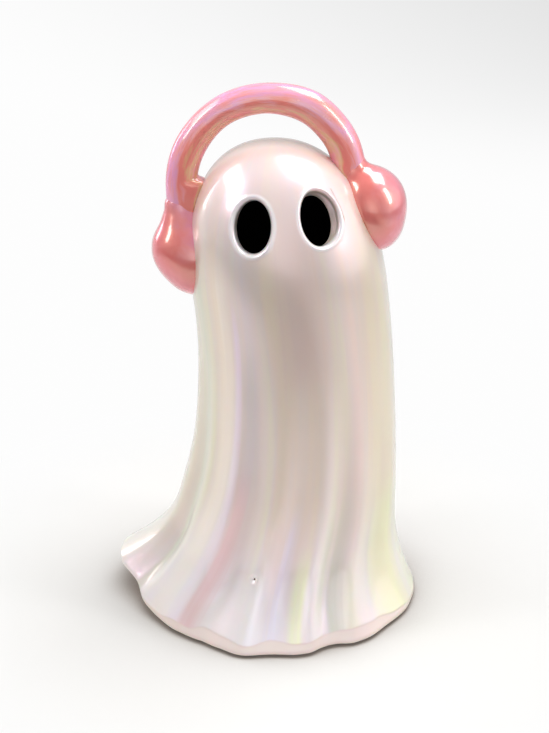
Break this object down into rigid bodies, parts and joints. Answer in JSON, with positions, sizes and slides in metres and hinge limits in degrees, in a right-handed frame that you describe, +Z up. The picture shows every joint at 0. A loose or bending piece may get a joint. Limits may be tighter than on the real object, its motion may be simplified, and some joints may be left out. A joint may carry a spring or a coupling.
{
  "type": "ghost figurine",
  "caption": "Hollow glazed ceramic ghost figure with a fluted sheet skirt, pierced oval eyes, and luted-on headphones made of a band, pads and cups.",
  "frame": {"origin": "on the table, in the middle of the figure's outline as seen from above", "axes": "+Z up from the foot to the head, -Y the way the face looks, +X towards the higher ear"},
  "size_m": [0.1154, 0.1062, 0.2005],
  "materials": {
    "pearl_glaze": "gloss pearl lustre glaze",
    "pink_glaze": "gloss pink lustre glaze",
    "bumper": "matt silicone"
  },
  "bodies": {
    "root": {"ghost_body": "pearl_glaze", "headband": "pink_glaze", "left_ear_pad": "pink_glaze", "right_ear_pad": "pink_glaze", "left_ear_cup": "pink_glaze", "right_ear_cup": "pink_glaze", "front_left_bumper": "bumper", "front_right_bumper": "bumper", "rear_left_bumper": "bumper", "rear_right_bumper": "bumper"}
  },
  "joints": []
}
